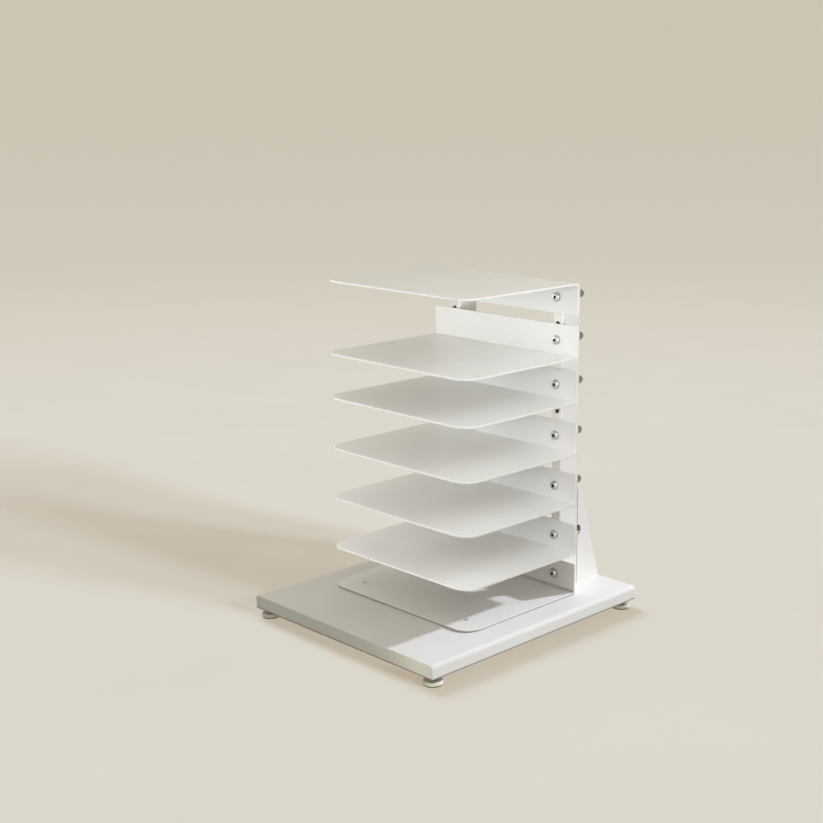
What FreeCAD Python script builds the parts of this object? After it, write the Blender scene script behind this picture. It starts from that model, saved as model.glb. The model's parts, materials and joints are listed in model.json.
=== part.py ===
import FreeCAD, Part
import os
import Sketcher

# Open display tower of folded sheet shelves bolted to two posts on a low sheet base.
# The front is -Y, the right is +X, and z = 0 is the floor under the middle of the base.

# Driving sizes in millimetres
SIZES = {
    # base: top and side skirts folded from one sheet, closed by a strip at the front and the back
    "base_width": 388.0,
    "base_depth": 432.0,
    "base_height": 20.0,
    "base_sheet": 3.0,
    "base_bend": 3.0,
    "base_edge_round": 0.6,
    "strip_clearance": 0.2,
    "floor_gap": 14.0,
    # levelling feet: a stem turns in the socket above it and in the pad below it
    "socket_diameter": 16.0,
    "socket_gap": 4.5,
    "sole_diameter": 25.6,
    "sole_height": 1.5,
    "pad_diameter": 28.0,
    "pad_height": 5.0,
    "pad_rim": 1.6,
    "pad_lip": 0.8,
    "pivot_diameter": 6.0,
    "pivot_depth": 3.0,
    "pivot_clearance": 0.1,
    "collar_flats": 13.0,
    "collar_height": 7.5,
    "stem_diameter": 8.0,
    "stem_clearance": 0.1,
    "stem_headroom": 1.0,
    "stem_chamfer": 0.8,
    # posts: rectangular tubes with a plate welded on top and a threaded plate welded into the foot
    "post_width": 20.0,
    "post_depth": 40.0,
    "post_wall": 2.0,
    "post_corner": 3.0,
    "post_bore_corner": 1.0,
    "post_setback": 51.0,
    "post_land": 2.75,
    "cap_plate": 3.0,
    "cap_round": 1.0,
    "end_plate": 8.0,
    "end_plate_clearance": 0.2,
    # gussets: plates behind the posts, notched beside one nut
    "gusset_sheet": 3.0,
    "gusset_height": 154.0,
    "gusset_top": 8.0,
    "gusset_tip": 3.0,
    "gusset_margin": 0.5,
    "gusset_nut_gap": 0.5,
    "gusset_notch_gap": 0.5,
    # shelves: a plate with rounded front corners and a flange folded along the back
    "shelf_width": 300.0,
    "shelf_depth": 229.0,
    "shelf_sheet": 3.0,
    "shelf_corner": 27.0,
    "shelf_bend": 1.5,
    "shelf_edge_round": 0.6,
    "flange_height": 48.0,
    "flange_corner": 2.0,
    "flange_bolt": 24.0,
    "bolt_inset": 41.5,
    # open heights from one flange's edge to the next plate, from the bottom up
    "bottom_gap": 14.0,
    "shelf_gap": 30.0,
    "upper_gap": 19.0,
    "flange_gap": 16.0,
    "spare_drop": 40.5,
    # bolts, nuts and washers
    "bolt_diameter": 8.0,
    "bolt_clearance": 0.25,
    "bolt_head": 14.0,
    "bolt_head_height": 4.4,
    "bolt_rim": 1.2,
    "bolt_socket": 5.0,
    "bolt_socket_depth": 2.6,
    "bolt_tip": 0.8,
    "bolt_reach": 8.0,
    "thread_clearance": 0.1,
    "nut_flats": 13.0,
    "nut_hex": 6.5,
    "nut_dome_inset": 0.3,
    "nut_dome_flat": 0.4,
    "nut_bore_room": 3.0,
    "nut_crown": 4.0,
    "washer_diameter": 16.0,
    "washer_sheet": 1.6,
    "post_screw_gap": 4.0,
    "post_screw_reach": 1.0,
    # small screws that hold the front of the bottom shelf down on the base
    "tray_screw_side": 38.0,
    "tray_screw_inset": 36.0,
    "tray_screw": 3.0,
    "tray_screw_clearance": 0.2,
    "tray_head": 5.7,
    "tray_head_height": 1.65,
    "tray_rim": 0.45,
    "tray_socket": 2.0,
    "tray_socket_depth": 1.0,
    "tray_tip": 0.4,
    "tray_screw_reach": 2.0,
}

# Heights and places worked out from the driving sizes
BASE_TOP = "(Sizes.floor_gap + Sizes.base_height)"
BASE_UNDER = f"({BASE_TOP} - Sizes.base_sheet)"
BASE_BACK = "(Sizes.base_depth / 2)"
BASE_FRONT = "(-Sizes.base_depth / 2)"
POST_BACK = f"({BASE_BACK} - Sizes.post_setback)"
POST_MIDDLE = f"({POST_BACK} - Sizes.post_depth / 2)"
POST_FRONT = f"({POST_BACK} - Sizes.post_depth)"
POST_SIDE = "(Sizes.shelf_width / 2 - Sizes.bolt_inset)"
FLANGE_FRONT = f"({POST_FRONT} - Sizes.shelf_sheet)"
SHELF_FRONT = f"({FLANGE_FRONT} - Sizes.shelf_depth)"
BOLT_HOLE = "(Sizes.bolt_diameter / 2 + Sizes.bolt_clearance)"
BOLT_THREAD = "(Sizes.bolt_diameter / 2 + Sizes.thread_clearance)"
BOLT_DOME = "(Sizes.bolt_head_height - Sizes.bolt_rim)"
NUT_BORE = "(Sizes.bolt_reach + Sizes.nut_bore_room)"
NUT_HEIGHT = f"({NUT_BORE} + Sizes.nut_crown)"
NUT_DOME = "(Sizes.nut_flats / 2 - Sizes.nut_dome_inset)"
POST_SCREW_SIDE = "((Sizes.washer_diameter + Sizes.post_screw_gap) / 2)"
TRAY_HOLE = "(Sizes.tray_screw / 2 + Sizes.tray_screw_clearance)"
TRAY_DOME = "(Sizes.tray_head_height - Sizes.tray_rim)"
TRAY_SCREW_SIDE = "(Sizes.shelf_width / 2 - Sizes.tray_screw_side)"
FOOT_INSET = "(Sizes.base_sheet + Sizes.socket_gap + Sizes.socket_diameter / 2)"
PAD_TOP = "(Sizes.sole_height + Sizes.pad_height)"
COLLAR_TOP = f"({PAD_TOP} + Sizes.collar_height)"

# Height of each plate's top face above the base, from the bottom shelf up
LEVELS = {"bottom_shelf": "Sizes.shelf_sheet"}
LEVELS["shelf_6"] = LEVELS["bottom_shelf"] + " + Sizes.flange_height + Sizes.bottom_gap"
LEVELS["shelf_5"] = LEVELS["shelf_6"] + " + Sizes.flange_height + Sizes.shelf_gap"
LEVELS["shelf_4"] = LEVELS["shelf_5"] + " + Sizes.flange_height + Sizes.shelf_gap"
LEVELS["shelf_3"] = LEVELS["shelf_4"] + " + Sizes.flange_height + Sizes.shelf_gap"
LEVELS["shelf_2"] = LEVELS["shelf_3"] + " + Sizes.flange_height + Sizes.upper_gap"
LEVELS["top_shelf"] = LEVELS["shelf_2"] + " - Sizes.shelf_sheet + 2 * Sizes.flange_height + Sizes.flange_gap"

# Bolt heights above the base: the top shelf is the same piece turned over, so its flange hangs down
BOLT_HEIGHTS = {
    name: f"({level} - Sizes.shelf_sheet + Sizes.flange_bolt)" for name, level in LEVELS.items()
}
BOLT_HEIGHTS["top_shelf"] = f"({LEVELS['top_shelf']} - Sizes.flange_bolt)"
SPARE_HEIGHTS = [f"({BOLT_HEIGHTS[name]} - Sizes.spare_drop)" for name in ("top_shelf", "shelf_3")]
POST_TOP = f"({BOLT_HEIGHTS['top_shelf']} + {BOLT_HOLE} + Sizes.post_land)"

SIDES = {"left": -1, "right": 1}
CORNERS = {"front_left": (-1, -1), "front_right": (1, -1), "back_left": (-1, 1), "back_right": (1, 1)}
CLOSE = 1e-4

doc = FreeCAD.newDocument("display_tower")
sheet = doc.addObject("Spreadsheet::Sheet", "Sizes")
for row, (alias, value) in enumerate(SIZES.items(), 1):
    sheet.set(f"A{row}", alias)
    sheet.set(f"B{row}", str(value))
    sheet.setAlias(f"B{row}", alias)
doc.recompute()

nodes = []


def number(expression):
    return float(sheet.evalExpression(expression))


def bind(item, expressions):
    for name, expression in expressions.items():
        item.setExpression(name, expression)


def place(item, x="0", y="0", z="0"):
    bind(item, {"Placement.Base.x": x, "Placement.Base.y": y, "Placement.Base.z": z})


def new_body(label):
    body = doc.addObject("PartDesign::Body", label)
    body.Label = label
    return body


# Sketches: every corner and centre is held by two signed distances from the sketch's origin
def new_sketch(body, plane, name, offset=None):
    sketch = body.newObject("Sketcher::SketchObject", name)
    support = next(item for item in body.Origin.OriginFeatures if item.Role == plane)
    sketch.AttachmentSupport = [(support, "")]
    sketch.MapMode = "FlatFace"
    if offset:
        sketch.setExpression("AttachmentOffset.Base.z", offset)
    return sketch


def hold_point(sketch, geometry, vertex, x, y):
    for kind, expression in (("DistanceX", x), ("DistanceY", y)):
        index = sketch.addConstraint(
            Sketcher.Constraint(kind, -1, 1, geometry, vertex, number(expression))
        )
        name = f"{kind}_{geometry}"
        sketch.renameConstraint(index, name)
        sketch.setExpression(f"Constraints.{name}", expression)


def polygon(sketch, corners):
    first = sketch.GeometryCount
    points = [FreeCAD.Vector(number(x), number(y), 0) for x, y in corners]
    count = len(points)
    for index in range(count):
        sketch.addGeometry(Part.LineSegment(points[index], points[(index + 1) % count]), False)
    for index in range(count):
        following = first + (index + 1) % count
        sketch.addConstraint(Sketcher.Constraint("Coincident", first + index, 2, following, 1))
    for index, (x, y) in enumerate(corners):
        hold_point(sketch, first + index, 1, x, y)


def rectangle(sketch, half_width, low, high):
    left = f"-{half_width}"
    polygon(sketch, [(left, low), (half_width, low), (half_width, high), (left, high)])


def hexagon(sketch, flats):
    corner = f"({flats} / sqrt(3))"
    polygon(sketch, [
        ("0", corner),
        (f"-{flats} / 2", f"{corner} / 2"),
        (f"-{flats} / 2", f"-{corner} / 2"),
        ("0", f"-{corner}"),
        (f"{flats} / 2", f"-{corner} / 2"),
        (f"{flats} / 2", f"{corner} / 2"),
    ])


def circle(sketch, x, y, radius):
    geometry = sketch.GeometryCount
    centre = FreeCAD.Vector(number(x), number(y), 0)
    sketch.addGeometry(Part.Circle(centre, FreeCAD.Vector(0, 0, 1), number(radius)), False)
    index = sketch.addConstraint(Sketcher.Constraint("Radius", geometry, number(radius)))
    sketch.renameConstraint(index, f"Radius_{geometry}")
    sketch.setExpression(f"Constraints.Radius_{geometry}", radius)
    hold_point(sketch, geometry, 3, x, y)


# Features
def pad(body, sketch, name, length, symmetric=False, reverse=False):
    feature = body.newObject("PartDesign::Pad", name)
    feature.Profile = sketch
    feature.setExpression("Length", length)
    feature.SideType = "Symmetric" if symmetric else "One side"
    feature.Reversed = reverse
    doc.recompute()
    return feature


def pocket(body, sketch, name, depth=None, reverse=False):
    before = body.Tip.Shape.Volume
    feature = body.newObject("PartDesign::Pocket", name)
    feature.Profile = sketch
    if depth:
        feature.setExpression("Length", depth)
        feature.Reversed = reverse
    else:
        feature.Type = "ThroughAll"
        feature.SideType = "Symmetric"
    doc.recompute()
    if feature.Shape.Volume > before - CLOSE:
        raise RuntimeError(f"{body.Label}: {name} cuts nothing")
    return feature


def revolve(body, sketch, name):
    feature = body.newObject("PartDesign::Revolution", name)
    feature.Profile = sketch
    feature.ReferenceAxis = (sketch, ["V_Axis"])
    feature.Angle = 360.0
    doc.recompute()
    return feature


def edge_names(feature, wanted):
    return [f"Edge{index}" for index, edge in enumerate(feature.Shape.Edges, 1) if wanted(edge)]


def fillet(body, base, name, radius, wanted):
    feature = body.newObject("PartDesign::Fillet", name)
    feature.Base = (base, edge_names(base, wanted))
    feature.setExpression("Radius", radius)
    doc.recompute()
    return feature


def chamfer(body, base, name, size, wanted):
    feature = body.newObject("PartDesign::Chamfer", name)
    feature.Base = (base, edge_names(base, wanted))
    feature.setExpression("Size", size)
    doc.recompute()
    return feature


# Tests that pick edges and faces by where they lie
def lies_at(shape, **where):
    box = shape.BoundBox
    for axis, expression in where.items():
        value = number(expression)
        low = getattr(box, f"{axis.upper()}Min")
        high = getattr(box, f"{axis.upper()}Max")
        if abs(low - value) > CLOSE or abs(high - value) > CLOSE:
            return False
    return True


def runs_along(edge, axis):
    if not isinstance(edge.Curve, Part.Line):
        return False
    return abs(getattr(edge.Curve.Direction, axis)) > 1 - CLOSE


def ring_at(edge, z, radius):
    if not isinstance(edge.Curve, Part.Circle):
        return False
    return lies_at(edge, z=z) and abs(edge.Curve.Radius - number(radius)) < CLOSE


# Base: top plate and side skirts in one folded sheet
def make_base_tray():
    body = new_body("base_tray")
    block = new_sketch(body, "XZ_Plane", "tray_block")
    rectangle(block, "Sizes.base_width / 2", "Sizes.floor_gap", BASE_TOP)
    solid = pad(body, block, "tray_solid", "Sizes.base_depth", symmetric=True)
    bent = fillet(body, solid, "tray_bend", "Sizes.base_bend + Sizes.base_sheet",
                  lambda edge: runs_along(edge, "y") and lies_at(edge, z=BASE_TOP))
    fillet(body, bent, "tray_ends", "Sizes.base_edge_round",
           lambda edge: (lies_at(edge, y=BASE_FRONT) or lies_at(edge, y=BASE_BACK))
           and not lies_at(edge, z="Sizes.floor_gap"))
    hollow = new_sketch(body, "XZ_Plane", "tray_hollow")
    inner = "(Sizes.base_width / 2 - Sizes.base_sheet)"
    rectangle(hollow, inner, "Sizes.floor_gap", BASE_UNDER)
    shell = pocket(body, hollow, "tray_shell")
    fillet(body, shell, "tray_inner_bend", "Sizes.base_bend",
           lambda edge: runs_along(edge, "y") and lies_at(edge, z=BASE_UNDER))
    holes = new_sketch(body, "XY_Plane", "tray_holes")
    for sign in SIDES.values():
        for end in (-1, 1):
            circle(holes, f"{sign} * {POST_SIDE}", f"{POST_MIDDLE} + {end} * {POST_SCREW_SIDE}", BOLT_HOLE)
        tray_row = f"{SHELF_FRONT} + Sizes.tray_screw_inset"
        circle(holes, f"{sign} * {TRAY_SCREW_SIDE}", tray_row, TRAY_HOLE)
    pocket(body, holes, "tray_drilled")
    nodes.append(body)


# Closing strips: they stand between the skirts, flush with the ends of the folded sheet
def make_strip(label, outer_face):
    body = new_body(label)
    outline = new_sketch(body, "XZ_Plane", f"{label}_outline")
    half = "(Sizes.base_width / 2 - Sizes.base_sheet - Sizes.strip_clearance)"
    rectangle(outline, half, "Sizes.floor_gap", BASE_UNDER)
    solid = pad(body, outline, f"{label}_solid", "Sizes.base_sheet")
    fillet(body, solid, f"{label}_corners", "Sizes.base_bend + Sizes.strip_clearance",
           lambda edge: runs_along(edge, "y") and lies_at(edge, z=BASE_UNDER))
    place(body, y=outer_face)
    nodes.append(body)


# Posts: rectangular tubes drilled front to back for the shelf bolts and the spare holes
def make_post(side, sign):
    label = f"post_{side}"
    body = new_body(label)
    section = new_sketch(body, "XY_Plane", f"{label}_section")
    rectangle(section, "Sizes.post_width / 2", "-Sizes.post_depth / 2", "Sizes.post_depth / 2")
    half_width = "(Sizes.post_width / 2 - Sizes.post_wall)"
    half_depth = "(Sizes.post_depth / 2 - Sizes.post_wall)"
    rectangle(section, half_width, f"-{half_depth}", half_depth)
    tube = pad(body, section, f"{label}_tube", POST_TOP)
    outer = number("Sizes.post_width / 2")
    rounded = fillet(body, tube, f"{label}_outer_corners", "Sizes.post_corner",
                     lambda edge: runs_along(edge, "z") and abs(abs(edge.BoundBox.XMin) - outer) < CLOSE)
    inner = number(half_depth)
    fillet(body, rounded, f"{label}_inner_corners", "Sizes.post_bore_corner",
           lambda edge: runs_along(edge, "z") and abs(abs(edge.BoundBox.YMin) - inner) < CLOSE)
    holes = new_sketch(body, "XZ_Plane", f"{label}_holes")
    for height in list(BOLT_HEIGHTS.values()) + SPARE_HEIGHTS:
        circle(holes, "0", height, BOLT_HOLE)
    pocket(body, holes, f"{label}_drilled")
    place(body, f"{sign} * {POST_SIDE}", POST_MIDDLE, BASE_TOP)
    nodes.append(body)


# Plates welded on the tops of the posts
def make_post_cap(side, sign):
    label = f"post_cap_{side}"
    body = new_body(label)
    outline = new_sketch(body, "XY_Plane", f"{label}_outline")
    rectangle(outline, "Sizes.post_width / 2", "-Sizes.post_depth / 2", "Sizes.post_depth / 2")
    solid = pad(body, outline, f"{label}_plate", "Sizes.cap_plate")
    rounded = fillet(body, solid, f"{label}_corners", "Sizes.post_corner", lambda edge: runs_along(edge, "z"))
    fillet(body, rounded, f"{label}_rim", "Sizes.cap_round", lambda edge: lies_at(edge, z="Sizes.cap_plate"))
    place(body, f"{sign} * {POST_SIDE}", POST_MIDDLE, f"{BASE_TOP} + {POST_TOP}")
    nodes.append(body)


# Threaded plates welded into the feet of the posts
def make_end_plate(side, sign):
    label = f"post_end_plate_{side}"
    body = new_body(label)
    outline = new_sketch(body, "XY_Plane", f"{label}_outline")
    half_width = "(Sizes.post_width / 2 - Sizes.post_wall - Sizes.end_plate_clearance)"
    half_depth = "(Sizes.post_depth / 2 - Sizes.post_wall - Sizes.end_plate_clearance)"
    rectangle(outline, half_width, f"-{half_depth}", half_depth)
    solid = pad(body, outline, f"{label}_solid", "Sizes.end_plate")
    fillet(body, solid, f"{label}_corners", "Sizes.post_bore_corner", lambda edge: runs_along(edge, "z"))
    holes = new_sketch(body, "XY_Plane", f"{label}_holes")
    for end in (-1, 1):
        circle(holes, "0", f"{end} * {POST_SCREW_SIDE}", BOLT_THREAD)
    pocket(body, holes, f"{label}_threads")
    place(body, f"{sign} * {POST_SIDE}", POST_MIDDLE, BASE_TOP)
    nodes.append(body)


# Gussets: upright plates behind the posts, just outside the nuts
def make_gusset(side, sign):
    label = f"gusset_{side}"
    body = new_body(label)
    outline = new_sketch(body, "YZ_Plane", f"{label}_outline")
    foot = "(Sizes.post_setback - Sizes.gusset_margin)"
    polygon(outline, [
        ("0", "0"),
        (foot, "0"),
        (foot, "Sizes.gusset_tip"),
        ("Sizes.gusset_top", "Sizes.gusset_height"),
        ("0", "Sizes.gusset_height"),
    ])
    pad(body, outline, f"{label}_plate", "Sizes.gusset_sheet")
    notch = new_sketch(body, "YZ_Plane", f"{label}_notch")
    circle(notch, "0", BOLT_HEIGHTS["shelf_6"], "Sizes.nut_flats / sqrt(3) + Sizes.gusset_notch_gap")
    pocket(body, notch, f"{label}_notched")
    inner_side = f"({POST_SIDE} + Sizes.nut_flats / 2 + Sizes.gusset_nut_gap)"
    x = inner_side if sign > 0 else f"-{inner_side} - Sizes.gusset_sheet"
    place(body, x, POST_BACK, BASE_TOP)
    nodes.append(body)


# Shelves: plate and back flange folded from one sheet, drilled for a bolt at the right-hand end
def shelf_outline(feature):
    thickness_free = (("z", "0"), ("z", "Sizes.shelf_sheet"), ("y", "0"), ("y", "-Sizes.shelf_sheet"))
    main_faces = []
    for face in feature.Shape.Faces:
        flat = any(lies_at(face, **{axis: value}) for axis, value in thickness_free)
        bend = isinstance(face.Surface, Part.Cylinder) and abs(face.Surface.Axis.x) > 1 - CLOSE
        if flat or bend:
            main_faces.append(face)
    edges = [edge for face in main_faces for edge in face.Edges]
    return [edge for edge in edges if sum(edge.isSame(other) for other in edges) == 1]


def make_shelf(label, level):
    turned_over = label == "top_shelf"
    body = new_body(label)
    profile = new_sketch(body, "YZ_Plane", f"{label}_profile")
    front = "(-Sizes.shelf_depth - Sizes.shelf_sheet)"
    polygon(profile, [
        (front, "0"),
        ("0", "0"),
        ("0", "Sizes.flange_height"),
        ("-Sizes.shelf_sheet", "Sizes.flange_height"),
        ("-Sizes.shelf_sheet", "Sizes.shelf_sheet"),
        (front, "Sizes.shelf_sheet"),
    ])
    solid = pad(body, profile, f"{label}_folded", "Sizes.shelf_width", symmetric=True)
    bent = fillet(body, solid, f"{label}_outer_bend", "Sizes.shelf_bend + Sizes.shelf_sheet",
                  lambda edge: runs_along(edge, "x") and lies_at(edge, y="0", z="0"))
    bent = fillet(body, bent, f"{label}_inner_bend", "Sizes.shelf_bend",
                  lambda edge: runs_along(edge, "x")
                  and lies_at(edge, y="-Sizes.shelf_sheet", z="Sizes.shelf_sheet"))
    cut = fillet(body, bent, f"{label}_front_corners", "Sizes.shelf_corner",
                 lambda edge: runs_along(edge, "z") and lies_at(edge, y=front))
    cut = fillet(body, cut, f"{label}_flange_corners", "Sizes.flange_corner",
                 lambda edge: runs_along(edge, "y") and lies_at(edge, z="Sizes.flange_height"))
    rim = shelf_outline(cut)
    fillet(body, cut, f"{label}_edges", "Sizes.shelf_edge_round",
           lambda edge: any(edge.isSame(other) for other in rim))
    bolt = new_sketch(body, "XZ_Plane", f"{label}_bolt_hole")
    bolt_end = SIDES["left"] if turned_over else SIDES["right"]
    circle(bolt, f"{bolt_end} * {POST_SIDE}", "Sizes.flange_bolt", BOLT_HOLE)
    pocket(body, bolt, f"{label}_drilled")
    if label == "bottom_shelf":
        screws = new_sketch(body, "XY_Plane", f"{label}_screw_holes")
        for sign in SIDES.values():
            circle(screws, f"{sign} * {TRAY_SCREW_SIDE}", f"{front} + Sizes.tray_screw_inset", TRAY_HOLE)
        pocket(body, screws, f"{label}_fixed")
    if turned_over:
        body.Placement.Rotation = FreeCAD.Rotation(FreeCAD.Vector(0, 1, 0), 180)
        place(body, y=POST_FRONT, z=f"{BASE_TOP} + {level}")
    else:
        place(body, y=POST_FRONT, z=f"{BASE_TOP} + {level} - Sizes.shelf_sheet")
    nodes.append(body)


# Fasteners are modelled once along +Z, seated at z = 0, and then set out as a group of separate solids
def make_screw(label, length, diameter, head, head_height, dome, flats, depth, tip):
    body = new_body(label)
    profile = new_sketch(body, "XZ_Plane", f"{label}_profile")
    polygon(profile, [
        ("0", f"-{head_height}"),
        (f"{head} / 2", f"-{head_height}"),
        (f"{head} / 2", "0"),
        (f"{diameter} / 2", "0"),
        (f"{diameter} / 2", length),
        ("0", length),
    ])
    turned = revolve(body, profile, f"{label}_turned")
    domed = fillet(body, turned, f"{label}_domed", dome,
                   lambda edge: ring_at(edge, f"-{head_height}", f"{head} / 2"))
    chamfer(body, domed, f"{label}_tip", tip, lambda edge: ring_at(edge, length, f"{diameter} / 2"))
    socket = new_sketch(body, "XY_Plane", f"{label}_socket", offset=f"-{head_height}")
    hexagon(socket, flats)
    pocket(body, socket, f"{label}_key", depth, reverse=True)
    return body


def make_stud(label, length):
    body = new_body(label)
    outline = new_sketch(body, "XY_Plane", f"{label}_outline")
    circle(outline, "0", "0", "Sizes.bolt_diameter / 2")
    rod = pad(body, outline, f"{label}_rod", length)
    chamfer(body, rod, f"{label}_tip", "Sizes.bolt_tip",
            lambda edge: ring_at(edge, length, "Sizes.bolt_diameter / 2"))
    return body


def make_dome_nut(label):
    body = new_body(label)
    outline = new_sketch(body, "XY_Plane", f"{label}_outline")
    hexagon(outline, "Sizes.nut_flats")
    pad(body, outline, f"{label}_hex", "Sizes.nut_hex")
    profile = new_sketch(body, "XZ_Plane", f"{label}_profile")
    polygon(profile, [
        ("0", "Sizes.nut_hex"),
        (NUT_DOME, "Sizes.nut_hex"),
        (NUT_DOME, NUT_HEIGHT),
        ("0", NUT_HEIGHT),
    ])
    dome = revolve(body, profile, f"{label}_dome")
    fillet(body, dome, f"{label}_round", f"{NUT_DOME} - Sizes.nut_dome_flat",
           lambda edge: ring_at(edge, NUT_HEIGHT, NUT_DOME))
    bore = new_sketch(body, "XY_Plane", f"{label}_bore")
    circle(bore, "0", "0", BOLT_THREAD)
    pocket(body, bore, f"{label}_thread", NUT_BORE, reverse=True)
    return body


def make_washer(label):
    body = new_body(label)
    outline = new_sketch(body, "XY_Plane", f"{label}_outline")
    circle(outline, "0", "0", "Sizes.washer_diameter / 2")
    circle(outline, "0", "0", BOLT_HOLE)
    pad(body, outline, f"{label}_ring", "Sizes.washer_sheet")
    return body


def make_foot_socket(label):
    body = new_body(label)
    outline = new_sketch(body, "XY_Plane", f"{label}_outline")
    circle(outline, "0", "0", "Sizes.socket_diameter / 2")
    circle(outline, "0", "0", "Sizes.stem_diameter / 2")
    pad(body, outline, f"{label}_bush", f"{BASE_UNDER} - {COLLAR_TOP}")
    return body


def set_out(label, master, places, tilt):
    copies = []
    for index, (x, y, z) in enumerate(places, 1):
        copy = doc.addObject("App::Link", f"{label}_{index}")
        copy.LinkedObject = master
        copy.Placement.Rotation = FreeCAD.Rotation(FreeCAD.Vector(1, 0, 0), tilt)
        place(copy, x, y, z)
        copies.append(copy)
    group = doc.addObject("Part::Compound", label)
    group.Label = label
    group.Links = copies
    nodes.append(group)


def make_fasteners():
    left, right = [f"{SIDES[side]} * {POST_SIDE}" for side in ("left", "right")]
    heights = [f"{BASE_TOP} + {height}" for height in BOLT_HEIGHTS.values()]
    bolt_form = {
        "diameter": "Sizes.bolt_diameter",
        "head": "Sizes.bolt_head",
        "head_height": "Sizes.bolt_head_height",
        "dome": BOLT_DOME,
        "flats": "Sizes.bolt_socket",
        "depth": "Sizes.bolt_socket_depth",
        "tip": "Sizes.bolt_tip",
    }
    bolt_length = "(Sizes.shelf_sheet + Sizes.post_depth + Sizes.bolt_reach)"
    bolt = make_screw("shelf_bolt", length=bolt_length, **bolt_form)
    set_out("shelf_bolts", bolt, [(right, FLANGE_FRONT, z) for z in heights], -90)
    # the left-hand studs are welded to the backs of the flanges, so no head shows there
    stud = make_stud("shelf_stud", "(Sizes.post_depth + Sizes.bolt_reach)")
    set_out("shelf_studs", stud, [(left, POST_FRONT, z) for z in heights], -90)
    nut = make_dome_nut("dome_nut")
    set_out("dome_nuts", nut, [(x, POST_BACK, z) for z in heights for x in (left, right)], -90)

    screw_length = "(Sizes.washer_sheet + Sizes.base_sheet + Sizes.end_plate + Sizes.post_screw_reach)"
    screw = make_screw("post_screw", length=screw_length, **bolt_form)
    screw_rows = [f"{POST_MIDDLE} + {end} * {POST_SCREW_SIDE}" for end in (-1, 1)]
    washer_seat = f"{BASE_UNDER} - Sizes.washer_sheet"
    screw_places = [(x, y, washer_seat) for x in (left, right) for y in screw_rows]
    set_out("post_screws", screw, screw_places, 0)
    set_out("post_washers", make_washer("post_washer"), screw_places, 0)

    tray_form = {
        "diameter": "Sizes.tray_screw",
        "head": "Sizes.tray_head",
        "head_height": "Sizes.tray_head_height",
        "dome": TRAY_DOME,
        "flats": "Sizes.tray_socket",
        "depth": "Sizes.tray_socket_depth",
        "tip": "Sizes.tray_tip",
    }
    tray_length = "(Sizes.shelf_sheet + Sizes.base_sheet + Sizes.tray_screw_reach)"
    tray_screw = make_screw("tray_screw", length=tray_length, **tray_form)
    tray_row = f"{SHELF_FRONT} + Sizes.tray_screw_inset"
    tray_seat = f"{BASE_TOP} + Sizes.shelf_sheet"
    tray_places = [(f"{sign} * {TRAY_SCREW_SIDE}", tray_row, tray_seat) for sign in SIDES.values()]
    set_out("tray_screws", tray_screw, tray_places, 180)


# Levelling feet: sole, pad and stem at each corner of the base
def foot_place(corner):
    sign_x, sign_y = CORNERS[corner]
    x = f"{sign_x} * (Sizes.base_width / 2 - {FOOT_INSET})"
    y = f"{sign_y} * (Sizes.base_depth / 2 - {FOOT_INSET})"
    return x, y


def make_foot_sole(corner):
    sole = doc.addObject("Part::Cylinder", f"foot_sole_{corner}")
    sole.Label = f"foot_sole_{corner}"
    bind(sole, {"Radius": "Sizes.sole_diameter / 2", "Height": "Sizes.sole_height"})
    place(sole, *foot_place(corner))
    nodes.append(sole)


def make_foot_pad(corner):
    label = f"foot_pad_{corner}"
    body = new_body(label)
    profile = new_sketch(body, "XZ_Plane", f"{label}_profile")
    bore = "(Sizes.pivot_diameter / 2 + Sizes.pivot_clearance)"
    bore_floor = f"{PAD_TOP} - Sizes.pivot_depth"
    polygon(profile, [
        ("0", "Sizes.sole_height"),
        ("Sizes.pad_diameter / 2", "Sizes.sole_height"),
        ("Sizes.pad_diameter / 2", PAD_TOP),
        (bore, PAD_TOP),
        (bore, bore_floor),
        ("0", bore_floor),
    ])
    turned = revolve(body, profile, f"{label}_turned")
    rim = fillet(body, turned, f"{label}_rim", "Sizes.pad_rim",
                 lambda edge: ring_at(edge, PAD_TOP, "Sizes.pad_diameter / 2"))
    fillet(body, rim, f"{label}_lip", "Sizes.pad_lip",
           lambda edge: ring_at(edge, "Sizes.sole_height", "Sizes.pad_diameter / 2"))
    place(body, *foot_place(corner))
    nodes.append(body)


def make_foot_stem(corner):
    label = f"foot_stem_{corner}"
    body = new_body(label)
    profile = new_sketch(body, "XZ_Plane", f"{label}_profile")
    rod = "(Sizes.stem_diameter / 2 - Sizes.stem_clearance)"
    stem_top = f"{BASE_UNDER} - Sizes.stem_headroom"
    pivot_end = f"{PAD_TOP} - Sizes.pivot_depth + Sizes.pivot_clearance"
    polygon(profile, [
        ("0", pivot_end),
        ("Sizes.pivot_diameter / 2", pivot_end),
        ("Sizes.pivot_diameter / 2", PAD_TOP),
        (rod, PAD_TOP),
        (rod, stem_top),
        ("0", stem_top),
    ])
    turned = revolve(body, profile, f"{label}_turned")
    chamfer(body, turned, f"{label}_point", "Sizes.stem_chamfer", lambda edge: ring_at(edge, stem_top, rod))
    outline = new_sketch(body, "XY_Plane", f"{label}_collar_outline", offset=PAD_TOP)
    hexagon(outline, "Sizes.collar_flats")
    pad(body, outline, f"{label}_collar", "Sizes.collar_height")
    place(body, *foot_place(corner))
    nodes.append(body)


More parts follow.
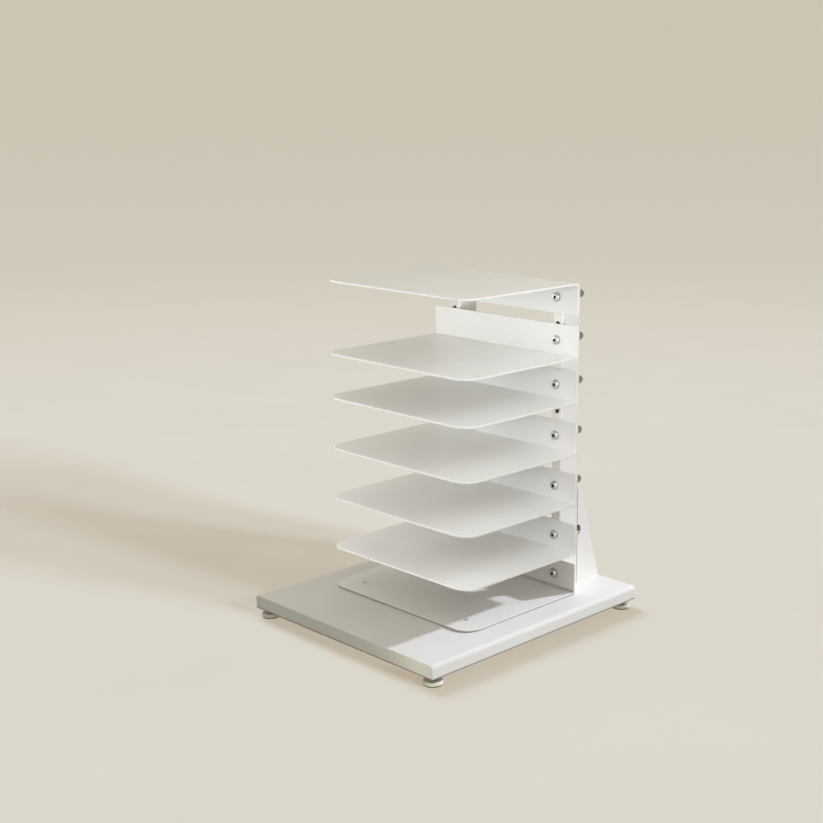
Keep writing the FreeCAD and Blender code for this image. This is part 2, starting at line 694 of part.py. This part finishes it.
make_base_tray()
make_strip("base_front_strip", f"{BASE_FRONT} + Sizes.base_sheet")
make_strip("base_back_strip", BASE_BACK)
for side_name, side_sign in SIDES.items():
    make_post(side_name, side_sign)
    make_post_cap(side_name, side_sign)
    make_end_plate(side_name, side_sign)
    make_gusset(side_name, side_sign)
for shelf_name, shelf_level in LEVELS.items():
    make_shelf(shelf_name, shelf_level)
make_fasteners()
for corner_name in CORNERS:
    make_foot_sole(corner_name)
    make_foot_pad(corner_name)
    make_foot_stem(corner_name)
socket = make_foot_socket("foot_socket")
set_out("foot_sockets", socket, [(*foot_place(corner), COLLAR_TOP) for corner in CORNERS], 0)

doc.recompute()
for item in doc.Objects:
    if "Invalid" in item.State or "Error" in item.State:
        raise RuntimeError(f"{item.Name} failed: {item.State}")
for node in nodes:
    if node.Shape.isNull() or not node.Shape.isValid():
        raise RuntimeError(f"{node.Label} has no valid shape")

os.makedirs("parts", exist_ok=True)
for node in nodes:
    node.Shape.exportStep(f"parts/{node.Label}.step")
    print(node.Label, len(node.Shape.Solids), round(node.Shape.Volume, 1))
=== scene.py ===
"""Looks of the board game tower: finishes, threaded stems, floor, light and camera."""
import json
import math
import bmesh
import bpy
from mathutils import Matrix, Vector


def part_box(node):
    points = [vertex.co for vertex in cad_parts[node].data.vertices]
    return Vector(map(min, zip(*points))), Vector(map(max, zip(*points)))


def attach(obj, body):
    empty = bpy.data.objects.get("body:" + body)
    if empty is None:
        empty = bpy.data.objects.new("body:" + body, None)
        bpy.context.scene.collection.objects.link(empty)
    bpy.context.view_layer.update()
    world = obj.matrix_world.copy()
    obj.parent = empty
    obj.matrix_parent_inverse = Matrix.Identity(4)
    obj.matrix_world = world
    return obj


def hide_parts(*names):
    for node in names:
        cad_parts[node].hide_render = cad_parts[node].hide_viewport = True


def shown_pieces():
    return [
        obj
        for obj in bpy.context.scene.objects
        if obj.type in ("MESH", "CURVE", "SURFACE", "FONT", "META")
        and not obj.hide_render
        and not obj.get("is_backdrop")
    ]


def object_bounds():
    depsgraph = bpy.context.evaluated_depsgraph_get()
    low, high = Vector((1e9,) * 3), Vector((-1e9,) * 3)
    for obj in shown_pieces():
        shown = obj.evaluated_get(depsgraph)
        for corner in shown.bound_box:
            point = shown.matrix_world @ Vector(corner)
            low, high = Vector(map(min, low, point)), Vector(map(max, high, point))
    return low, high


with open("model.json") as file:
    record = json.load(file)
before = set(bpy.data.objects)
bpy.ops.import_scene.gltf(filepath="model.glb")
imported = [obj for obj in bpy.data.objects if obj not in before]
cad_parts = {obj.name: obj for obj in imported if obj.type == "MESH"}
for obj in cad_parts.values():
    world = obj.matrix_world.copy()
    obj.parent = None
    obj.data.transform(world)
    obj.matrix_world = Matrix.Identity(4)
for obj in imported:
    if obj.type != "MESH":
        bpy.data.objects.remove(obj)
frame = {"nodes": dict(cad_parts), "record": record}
CAD_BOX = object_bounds()
CENTRE = (CAD_BOX[0] + CAD_BOX[1]) / 2

# Camera, as the photograph was taken
FRAME_PX = 823
FOCAL_PX = 1401.8
AXIS_COLUMN_PX = 488.2
SENSOR_MM = 36.0
AZIMUTH = math.radians(44.273)
ELEVATION = math.radians(13.097)
DISTANCE = 2.1477
AIM_FROM_CENTRE = Vector((0.0, 0.0893, 0.0458))

# Floor: a round sheet with a pale glow, which fades into the backdrop and throws little light back
FLOOR_RADIUS = 4.5
FLOOR_SIDES = 96
FLOOR_FADE_FROM = 1.0
FLOOR_DARK = (0.0915, 0.089, 0.0825, 1.0)
FLOOR_LIGHT = (0.094, 0.0915, 0.085, 1.0)
GLOW_DARK = (0.374, 0.285, 0.187, 1.0)
GLOW_LIGHT = (0.384, 0.294, 0.194, 1.0)
FLOOR_BOUNCE = (0.020, 0.018, 0.006, 1.0)

# Backdrop: colours between two heights of the direction that is looked in
BACKDROP_FROM = -0.16
BACKDROP_TO = 0.03
BACKDROP = (
    (0.0, (0.652, 0.612, 0.516, 1.0)),
    (0.55, (0.608, 0.568, 0.470, 1.0)),
    (1.0, (0.597, 0.558, 0.451, 1.0)),
)

# Soft light from all round
AMBIENT = 0.65
AMBIENT_COLOUR = (1.0, 0.95, 0.865, 1.0)

# Groups of pieces, by the first letters of their names
FEET = ("foot_", "threaded_stem_")
BASE = ("base_",)
POSTS = ("post_",)
STANDING = ("bottom_shelf", "gusset_") + POSTS + FEET
SEEN_FROM_ABOVE = ("base_tray", "base_front_strip", "bottom_shelf", "gusset_") + FEET
SHELVES = ("top_shelf", "shelf_2", "shelf_3", "shelf_4", "shelf_5", "shelf_6")
TOWER = SHELVES + POSTS + ("bottom_shelf", "gusset_", "dome_nuts")
BOLTS = ("shelf_bolts",)

# Lamps: place, power in watts, colour, size and the pieces that each one lights
LAMPS = {
    "key": ((1.61, 3.86, 2.12), 250.0, (0.82, 0.855, 1.0), 0.22, SEEN_FROM_ABOVE),
    "side": ((2.0, -0.2, 0.05), 4.0, (1.0, 0.97, 0.84), 0.1, STANDING),
    "bounce": ((0.64, -0.20, -0.75), 3.3, (1.0, 0.97, 0.84), 0.5, ("base_tray",)),
    "corner": ((0.55, -0.50, 0.05), 1.0, (1.0, 0.96, 0.75), 0.1, FEET),
    "strip": ((0.185, -0.30, 0.026), 0.029, (1.0, 0.98, 0.80), 0.02, ("base_front_strip", "base_tray")),
    "tray": ((-1.0, 0.05, 0.30), 3.0, (1.0, 0.97, 0.86), 0.4, ("bottom_shelf",)),
    "posts": ((0.22, -1.0, 0.37), 5.2, (1.0, 0.98, 0.94), 0.3, POSTS),
    "post_sides": ((2.0, -0.2, 0.30), 16.0, (0.82, 0.855, 1.0), 0.3, POSTS),
    "right": ((0.75, 0.0, 0.66), 1.78, (0.98, 0.98, 1.0), 0.4, SHELVES),
    "right_front": ((0.7, -0.9, 0.60), 1.97, (0.90, 0.935, 1.0), 0.4, SHELVES),
    "low_front": ((0.5, -1.1, 0.22), 1.8, (0.85, 0.87, 1.0), 0.4, SHELVES),
    "front": ((0.0, -0.8, 0.45), 0.66, (0.85, 0.85, 1.0), 0.3, SHELVES),
    "far_front": ((0.2, -2.2, 0.45), 2.8, (0.82, 0.88, 1.0), 1.0, SHELVES),
    "left_front": ((-0.9, -0.6, 0.55), 5.4, (0.963, 1.0, 0.984), 0.4, SHELVES),
    "top": ((0.62, 0.05, 0.85), 1.22, (0.85, 0.91, 1.0), 0.4, SHELVES),
}

# Suns, for the floor alone: direction, power, angle and the pieces whose shadows each one casts
SUN_COLOUR = (0.69, 0.86, 1.0)
SUNS = (
    ((1.0, 0.11, 0.40), 4.75, 0.14, TOWER + BASE + FEET),
    ((1.0, 0.11, 0.40), 4.75, 0.14, TOWER + FEET),
    ((0.95, 0.33, 0.42), 9.5, 0.14, TOWER),
    ((-0.50, 0.14, 0.50), 9.4, 0.50, BASE + FEET),
)

# Tones of the finishes
COAT_DARK = (0.792, 0.783, 0.756, 1.0)
COAT_LIGHT = (0.832, 0.825, 0.802, 1.0)
BOLT_DARK = (0.58, 0.57, 0.55, 1.0)
BOLT_LIGHT = (0.68, 0.67, 0.65, 1.0)
# The dome nuts get a darker copy of the bolt steel: painted shade
NUT_NODE = "dome_nuts"
SHADED_NUT_DARK = (0.30, 0.295, 0.275, 1.0)
SHADED_NUT_LIGHT = (0.38, 0.375, 0.35, 1.0)
ZINC_DARK = (0.46, 0.46, 0.45, 1.0)
ZINC_LIGHT = (0.58, 0.58, 0.56, 1.0)
PAD_DARK = (0.68, 0.67, 0.62, 1.0)
PAD_LIGHT = (0.76, 0.75, 0.70, 1.0)
RUBBER_DARK = (0.030, 0.029, 0.027, 1.0)
RUBBER_LIGHT = (0.075, 0.071, 0.064, 1.0)

# Painted shade: a dark line where the bottom shelf's edge meets the base, and darker corners across the
# bottom shelf
CORNER_SHADE_NODE = "bottom_shelf"
CORNER_SHADE_REACH = 0.006
CORNER_SHADE_COLOUR = (0.22, 0.21, 0.18, 1.0)

# Painted shade: a dark line along the lower edge of the base
EDGE_SHADE_NODES = ("base_tray", "base_front_strip", "base_back_strip")
EDGE_SHADE_HEIGHT = 0.0026
EDGE_SHADE_COLOUR = (0.08, 0.075, 0.06, 1.0)

# Painted shade inside the bolts' sockets and in the corners of bolts and nuts
SOCKET_SHADE_REACH = 0.006
SOCKET_SHADE_COLOUR = (0.04, 0.04, 0.038, 1.0)

# Stems of the levelling feet: a pivot in the pad, a hexagon collar and an M8 thread
CORNERS = ("front_left", "front_right", "back_left", "back_right")
PIVOT_RADIUS = 0.0030
COLLAR_CHAMFER = 0.0006
CHAMFER_SLOPE = math.tan(math.radians(30))
CHAMFER_ROWS = 8
THREAD_RADIUS = 0.0039
THREAD_DEPTH = 0.00062
THREAD_PITCH = 0.00125
CREST_SHARE = 1 / 8
ROOT_SHARE = 1 / 4
ROWS_PER_TURN = 8
TIP_CHAMFER = 0.0008
STEM_SIDES = 48
SHARP_ANGLE = math.radians(35)
SIXTH_TURN = math.pi / 3

# Node settings: rays for each test of openness, and the colour sockets of a Mix node
OPENNESS_RAYS = 8
MIX_COLOUR_INPUTS = (0, 6, 7)
MIX_COLOUR_OUTPUT = 2


def make(tree, kind, inputs=None, **settings):
    """Adds a node; an input given as a socket is linked, any other is set."""
    made = tree.nodes.new(kind)
    for name, value in settings.items():
        setattr(made, name, value)
    for name, value in (inputs or {}).items():
        if isinstance(value, bpy.types.NodeSocket):
            tree.links.new(value, made.inputs[name])
        else:
            made.inputs[name].default_value = value
    return made


def noise(tree, where, scale, detail, roughness=0.5):
    """Noise whose grains are about 1/scale metres across."""
    values = {"Vector": where, "Scale": scale, "Detail": detail, "Roughness": roughness}
    return make(tree, "ShaderNodeTexNoise", values).outputs["Fac"]


def ramp(tree, factor, *stops):
    """Colours between stops, each a position and a colour."""
    made = make(tree, "ShaderNodeValToRGB", {"Fac": factor})
    elements = made.color_ramp.elements
    while len(elements) < len(stops):
        elements.new(1.0)
    for element, (position, colour) in zip(elements, stops):
        element.position = position
        element.color = colour
    return made.outputs["Color"]


def spread(tree, factor, low, high, start=0.3, end=0.7):
    """A number from low to high as the factor goes from start to end."""
    values = {"Value": factor, "From Min": start, "From Max": end, "To Min": low, "To Max": high}
    return make(tree, "ShaderNodeMapRange", values).outputs["Result"]


def blend(tree, factor, low, high):
    """A colour from low to high as the factor goes from 0 to 1."""
    values = dict(zip(MIX_COLOUR_INPUTS, (factor, low, high)))
    return make(tree, "ShaderNodeMix", values, data_type="RGBA").outputs[MIX_COLOUR_OUTPUT]


def openness(tree, reach, closed, clear):
    """0 in corners that see no more than closed of what is within reach, 1 from clear on."""
    values = {"Distance": reach}
    seen = make(tree, "ShaderNodeAmbientOcclusion", values, samples=OPENNESS_RAYS).outputs["AO"]
    return spread(tree, seen, low=0.0, high=1.0, start=closed, end=clear)


def bump(tree, height, distance, strength, under=None):
    """A surface with fine relief, on top of the relief under it if there is any."""
    values = {"Height": height, "Distance": distance, "Strength": strength}
    if under:
        values["Normal"] = under
    return make(tree, "ShaderNodeBump", values).outputs["Normal"]


def new_material(name):
    """An empty material with its node tree and its surface coordinates in metres."""
    material = bpy.data.materials.new(name)
    material.use_nodes = True
    tree = material.node_tree
    tree.nodes.clear()
    return material, tree, make(tree, "ShaderNodeTexCoord").outputs["Object"]


def finish_material(material, tree, inputs):
    """Puts the material's shader and output behind the inputs made for it."""
    shader = make(tree, "ShaderNodeBsdfPrincipled", inputs)
    make(tree, "ShaderNodeOutputMaterial", {"Surface": shader.outputs["BSDF"]})
    return material


def powder_coat(name, corner_shade=False, edge_shade=False):
    """Off-white satin powder coat: slow drift of tone, orange peel and a fine grit.

    With corner shade it has painted shade in its corners, with edge shade a painted dark line along the
    base's lower edge.
    """
    material, tree, where = new_material(name)
    drift = noise(tree, where, scale=7.0, detail=4.0, roughness=0.55)
    colour = ramp(tree, drift, (0.32, COAT_DARK), (0.68, COAT_LIGHT))
    if corner_shade:
        # Painted shade: darker where the coat sees little of its surroundings
        colour = blend(tree, openness(tree, CORNER_SHADE_REACH, closed=0.55, clear=0.85), CORNER_SHADE_COLOUR, colour)
    if edge_shade:
        # Painted shade: a dark band just above the base's lower edge
        height = make(tree, "ShaderNodeSeparateXYZ", {"Vector": where}).outputs["Z"]
        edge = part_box("base_tray")[0].z
        over_edge_shade = spread(tree, height, low=0.0, high=1.0, start=edge, end=edge + EDGE_SHADE_HEIGHT)
        colour = blend(tree, over_edge_shade, EDGE_SHADE_COLOUR, colour)
    gloss = spread(tree, noise(tree, where, scale=30.0, detail=5.0), low=0.30, high=0.37)
    peel = noise(tree, where, scale=430.0, detail=2.0, roughness=0.4)
    peel = bump(tree, peel, distance=0.00025, strength=0.14)
    grit = noise(tree, where, scale=2400.0, detail=1.0)
    grit = bump(tree, grit, distance=0.00004, strength=0.12, under=peel)
    return finish_material(material, tree, {
        "Base Color": colour, "Roughness": gloss, "Normal": grit, "Specular IOR Level": 0.55})


def polished_steel(name, dark, light):
    """Bright steel of the bolts and dome nuts, with fine polishing marks and painted shade in sockets and
    corners.
    """
    material, tree, where = new_material(name)
    marks = noise(tree, where, scale=1500.0, detail=4.0, roughness=0.65)
    colour = ramp(tree, noise(tree, where, scale=260.0, detail=3.0), (0.35, dark), (0.65, light))
    # Painted shade: darker in sockets and corners
    colour = blend(tree, openness(tree, SOCKET_SHADE_REACH, closed=0.25, clear=0.75), SOCKET_SHADE_COLOUR, colour)
    gloss = spread(tree, marks, low=0.32, high=0.46)
    relief = bump(tree, marks, distance=0.00003, strength=0.10)
    return finish_material(material, tree, {
        "Base Color": colour, "Roughness": gloss, "Metallic": 1.0, "Normal": relief})


def zinc_steel():
    """Zinc-plated steel: cloudy plating with small crystals."""
    material, tree, where = new_material("zinc_steel")
    crystal = make(tree, "ShaderNodeTexVoronoi", {"Vector": where, "Scale": 900.0}).outputs["Color"]
    tone = make(tree, "ShaderNodeRGBToBW", {"Color": crystal}).outputs["Val"]
    colour = ramp(tree, tone, (0.2, ZINC_DARK), (0.8, ZINC_LIGHT))
    cloud = noise(tree, where, scale=160.0, detail=4.0)
    gloss = spread(tree, cloud, low=0.30, high=0.46)
    relief = bump(tree, cloud, distance=0.00005, strength=0.12)
    return finish_material(material, tree, {
        "Base Color": colour, "Roughness": gloss, "Metallic": 1.0, "Normal": relief})


def foot_plastic():
    """Moulded plastic of the foot pads, finely spark-eroded."""
    material, tree, where = new_material("foot_plastic")
    scuff = noise(tree, where, scale=210.0, detail=5.0, roughness=0.6)
    colour = ramp(tree, scuff, (0.3, PAD_DARK), (0.7, PAD_LIGHT))
    gloss = spread(tree, scuff, low=0.40, high=0.58)
    grain = noise(tree, where, scale=3200.0, detail=2.0)
    grain = bump(tree, grain, distance=0.00005, strength=0.25)
    return finish_material(material, tree, {"Base Color": colour, "Roughness": gloss, "Normal": grain})


def sole_rubber():
    """Dark rubber of the soles, dull and a little dusty."""
    material, tree, where = new_material("sole_rubber")
    dust = noise(tree, where, scale=180.0, detail=5.0, roughness=0.6)
    colour = ramp(tree, dust, (0.35, RUBBER_DARK), (0.75, RUBBER_LIGHT))
    gloss = spread(tree, dust, low=0.72, high=0.92)
    grain = noise(tree, where, scale=2600.0, detail=2.0)
    grain = bump(tree, grain, distance=0.00006, strength=0.3)
    return finish_material(material, tree, {"Base Color": colour, "Roughness": gloss, "Normal": grain})


FINISHES = {
    "powder_coat": powder_coat("powder_coat"),
    "polished_steel": polished_steel("polished_steel", BOLT_DARK, BOLT_LIGHT),
    "zinc_steel": zinc_steel(),
    "foot_plastic": foot_plastic(),
    "sole_rubber": sole_rubber(),
}


def dress_nodes():
    """Gives each CAD node the finish of its material slot in the record, or the copy with painted shade
    made for it.
    """
    # Copies of the coat and the steel with painted shade, for the nodes that need them
    special = {CORNER_SHADE_NODE: powder_coat("powder_coat_seam", corner_shade=True)}
    special.update(dict.fromkeys(EDGE_SHADE_NODES, powder_coat("powder_coat_edge_shade", edge_shade=True)))
    # Painted shade: the dome nuts' steel is a darker copy of the bolts'
    special[NUT_NODE] = polished_steel("polished_steel_shaded_nuts", SHADED_NUT_DARK, SHADED_NUT_LIGHT)
    for part in frame["record"]["subparts"]:
        finish = special.get(part["node"], FINISHES[part["material_slot"]])
        for slot in frame["nodes"][part["node"]].material_slots:
            slot.link = "OBJECT"
            slot.material = finish


def hexagon(angle, across_flats):
    """Distance from a hexagon's middle to its outline; a flat faces angle 0 and each sixth of a turn on."""
    half = SIXTH_TURN / 2
    return across_flats / 2 / math.cos((angle + half) % SIXTH_TURN - half)


def thread(turn):
    """Radius of the thread as it winds: flat crest, sloping flanks and flat root in each turn."""
    off_crest = abs(turn % 1.0 * 2 - 1)
    down_flank = (off_crest - CREST_SHARE) / (1 - CREST_SHARE - ROOT_SHARE)
    return THREAD_RADIUS - THREAD_DEPTH * min(1.0, max(0.0, down_flank))


def stem_rows(low, pad_top, base_bottom, high, across_flats):
    """Outlines of a stem from its foot upwards, each a height and a radius by angle."""
    yield low, lambda angle: PIVOT_RADIUS
    yield pad_top, lambda angle: PIVOT_RADIUS
    waist = across_flats / 2 - COLLAR_CHAMFER
    rise = (hexagon(SIXTH_TURN / 2, across_flats) - waist) * CHAMFER_SLOPE
    for row in range(2 * CHAMFER_ROWS + 1):
        lift = row / CHAMFER_ROWS
        from_end = rise * min(lift, 2 - lift)
        height = pad_top + from_end if lift <= 1 else base_bottom - from_end
        reach = waist + from_end / CHAMFER_SLOPE
        yield height, lambda angle, reach=reach: min(hexagon(angle, across_flats), reach)
    steps = round((high - base_bottom) / THREAD_PITCH * ROWS_PER_TURN)
    for step in range(steps + 1):
        height = base_bottom + (high - base_bottom) * step / steps
        tip = THREAD_RADIUS - TIP_CHAMFER + high - height
        turns = (height - base_bottom) / THREAD_PITCH
        yield height, lambda angle, turns=turns, tip=tip: min(thread(turns - angle / math.tau), tip)


def make_stem(corner):
    """A levelling stem with its chamfered collar and its thread, in place of the plain one."""
    node = f"foot_stem_{corner}"
    low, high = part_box(node)
    middle = (low + high) / 2
    pad_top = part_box(f"foot_pad_{corner}")[1].z
    base_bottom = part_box("base_tray")[0].z
    size = high - low
    flats_turn = 0.0 if size.x < size.y else math.pi / 2
    form = bmesh.new()
    rings = []
    for height, radius in stem_rows(low.z, pad_top, base_bottom, high.z, min(size.x, size.y)):
        ring = []
        for side in range(STEM_SIDES):
            angle = math.tau * side / STEM_SIDES
            reach = radius(angle - flats_turn)
            place = (middle.x + reach * math.cos(angle), middle.y + reach * math.sin(angle), height)
            ring.append(form.verts.new(place))
        rings.append(ring)
    for lower, upper in zip(rings, rings[1:]):
        for side in range(STEM_SIDES):
            after = (side + 1) % STEM_SIDES
            form.faces.new((lower[side], lower[after], upper[after], upper[side])).smooth = True
    form.faces.new(reversed(rings[0]))
    form.faces.new(rings[-1])
    mesh = bpy.data.meshes.new(f"threaded_stem_{corner}")
    form.to_mesh(mesh)
    form.free()
    mesh.set_sharp_from_angle(angle=SHARP_ANGLE)
    mesh.materials.append(FINISHES["zinc_steel"])
    stem = bpy.data.objects.new(mesh.name, mesh)
    bpy.context.scene.collection.objects.link(stem)
    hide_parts(node)
    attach(stem, f"stem_{corner}")


def seen_directly(tree):
    """1 where the camera, a reflection or glass looks at the surface, 0 for light on its way round."""
    rays = make(tree, "ShaderNodeLightPath").outputs
    values = {0: rays["Is Camera Ray"], 1: rays["Is Glossy Ray"]}
    seen = make(tree, "ShaderNodeMath", values, operation="ADD").outputs[0]
    values = {0: seen, 1: rays["Is Transmission Ray"]}
    return make(tree, "ShaderNodeMath", values, operation="ADD", use_clamp=True).outputs[0]


def mix_shaders(tree, factor, low, high):
    """A shader from low to high as the factor goes from 0 to 1."""
    return make(tree, "ShaderNodeMixShader", {0: factor, 1: low, 2: high}).outputs["Shader"]


def floor_material():
    """Matt and softly clouded, with its glow for what looks at it, clear towards the floor's rim."""
    material, tree, where = new_material("floor")
    cloud = noise(tree, where, scale=3.0, detail=5.0)
    colour = ramp(tree, cloud, (0.35, FLOOR_DARK), (0.65, FLOOR_LIGHT))
    tint = ramp(tree, cloud, (0.35, GLOW_DARK), (0.65, GLOW_LIGHT))
    lit = make(tree, "ShaderNodeBsdfDiffuse", {"Color": colour}).outputs["BSDF"]
    glow = make(tree, "ShaderNodeEmission", {"Color": tint, "Strength": 1.0}).outputs["Emission"]
    matt = make(tree, "ShaderNodeAddShader", {0: lit, 1: glow}).outputs["Shader"]
    dull = make(tree, "ShaderNodeBsdfDiffuse", {"Color": FLOOR_BOUNCE}).outputs["BSDF"]
    sheet = mix_shaders(tree, seen_directly(tree), dull, matt)
    clear = make(tree, "ShaderNodeBsdfTransparent").outputs["BSDF"]
    reach = make(tree, "ShaderNodeVectorMath", {0: where}, operation="LENGTH").outputs["Value"]
    limits = {"Value": reach, "From Min": FLOOR_FADE_FROM, "From Max": FLOOR_RADIUS}
    fade = make(tree, "ShaderNodeMapRange", limits, interpolation_type="SMOOTHSTEP").outputs["Result"]
    make(tree, "ShaderNodeOutputMaterial", {"Surface": mix_shaders(tree, fade, sheet, clear)})
    return material


def make_floor():
    """The round sheet that the tower stands on."""
    mesh = bpy.data.meshes.new("floor")
    form = bmesh.new()
    bmesh.ops.create_circle(form, cap_ends=True, radius=FLOOR_RADIUS, segments=FLOOR_SIDES)
    form.to_mesh(mesh)
    form.free()
    mesh.materials.append(floor_material())
    floor = bpy.data.objects.new("floor", mesh)
    bpy.context.scene.collection.objects.link(floor)
    floor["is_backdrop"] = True
    return floor


def make_world():
    """Soft light all round; the camera, metal and glass see a beige backdrop instead."""
    world = bpy.data.worlds.new("studio")
    world.use_nodes = True
    tree = world.node_tree
    tree.nodes.clear()
    way = make(tree, "ShaderNodeTexCoord").outputs["Generated"]
    height = make(tree, "ShaderNodeSeparateXYZ", {"Vector": way}).outputs["Z"]
    rise = spread(tree, height, low=0.0, high=1.0, start=BACKDROP_FROM, end=BACKDROP_TO)
    shade = {"Color": ramp(tree, rise, *BACKDROP), "Strength": 1.0}
    backdrop = make(tree, "ShaderNodeBackground", shade).outputs["Background"]
    soft = {"Color": AMBIENT_COLOUR, "Strength": AMBIENT}
    ambient = make(tree, "ShaderNodeBackground", soft).outputs["Background"]
    surface = mix_shaders(tree, seen_directly(tree), ambient, backdrop)
    make(tree, "ShaderNodeOutputWorld", {"Surface": surface})
    bpy.context.scene.world = world


def make_camera():
    """The camera that the photograph was taken with."""
    data = bpy.data.cameras.new("photo_camera")
    data.sensor_width = SENSOR_MM
    data.lens = FOCAL_PX / FRAME_PX * SENSOR_MM
    data.shift_x = 0.5 - AXIS_COLUMN_PX / FRAME_PX
    camera = bpy.data.objects.new("photo_camera", data)
    level = math.cos(ELEVATION)
    back = Vector((math.sin(AZIMUTH) * level, -math.cos(AZIMUTH) * level, math.sin(ELEVATION)))
    camera.location = CENTRE + AIM_FROM_CENTRE + back * DISTANCE
    camera.rotation_euler = back.to_track_quat("Z", "Y").to_euler()
    bpy.context.scene.collection.objects.link(camera)
    bpy.context.scene.camera = camera


def lamp(name, kind, place, aim, strength, colour, **settings):
    """Adds a lamp that faces its aim and is out of the camera's sight."""
    data = bpy.data.lights.new(name, kind)
    data.energy = strength
    data.color = colour
    for key, value in settings.items():
        setattr(data, key, value)
    made = bpy.data.objects.new(name, data)
    made.location = place
    made.rotation_euler = (Vector(place) - Vector(aim)).to_track_quat("Z", "Y").to_euler()
    made.visible_camera = False
    bpy.context.scene.collection.objects.link(made)
    return made


def gather(name, objects):
    """A collection of these objects, which stay in the scene's own as well."""
    group = bpy.data.collections.new(name)
    for obj in objects:
        group.objects.link(obj)
    return group


def lights_only(light, objects):
    """Lets a lamp light these objects alone."""
    light.light_linking.receiver_collection = gather(f"lit_by_{light.name}", objects)


def shaded_by(light, objects):
    """Lets these objects alone block a lamp."""
    light.light_linking.blocker_collection = gather(f"blocks_{light.name}", objects)


def make_lights(floor):
    """Lamps for groups of pieces, and the floor's suns.

    No piece mirrors a lamp, apart from the bolts, which have twins of the shelves' lamps. A lamp under the
    floor shines through it.
    """
    pieces = [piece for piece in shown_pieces() if piece is not floor]

    def named(starts):
        return [piece for piece in pieces if piece.name.startswith(starts)]

    for name, (place, power, colour, size, lit) in LAMPS.items():
        made = lamp(name, "AREA", place, CENTRE, power, colour, shape="DISK", size=size)
        made.visible_glossy = False
        lights_only(made, named(lit))
        if place[2] < 0:
            shaded_by(made, pieces)
        if lit is SHELVES:
            twin = lamp(f"{name}_on_bolts", "AREA", place, CENTRE, power, colour, shape="DISK", size=size)
            lights_only(twin, named(BOLTS))
    for number, (place, power, angle, shading) in enumerate(SUNS, 1):
        sun = lamp(f"floor_sun_{number}", "SUN", place, (0.0, 0.0, 0.0), power, SUN_COLOUR, angle=angle)
        lights_only(sun, [floor])
        shaded_by(sun, named(shading))


dress_nodes()
for corner in CORNERS:
    make_stem(corner)
make_camera()
make_world()
make_lights(make_floor())
bpy.context.scene.view_settings.view_transform = "Standard"
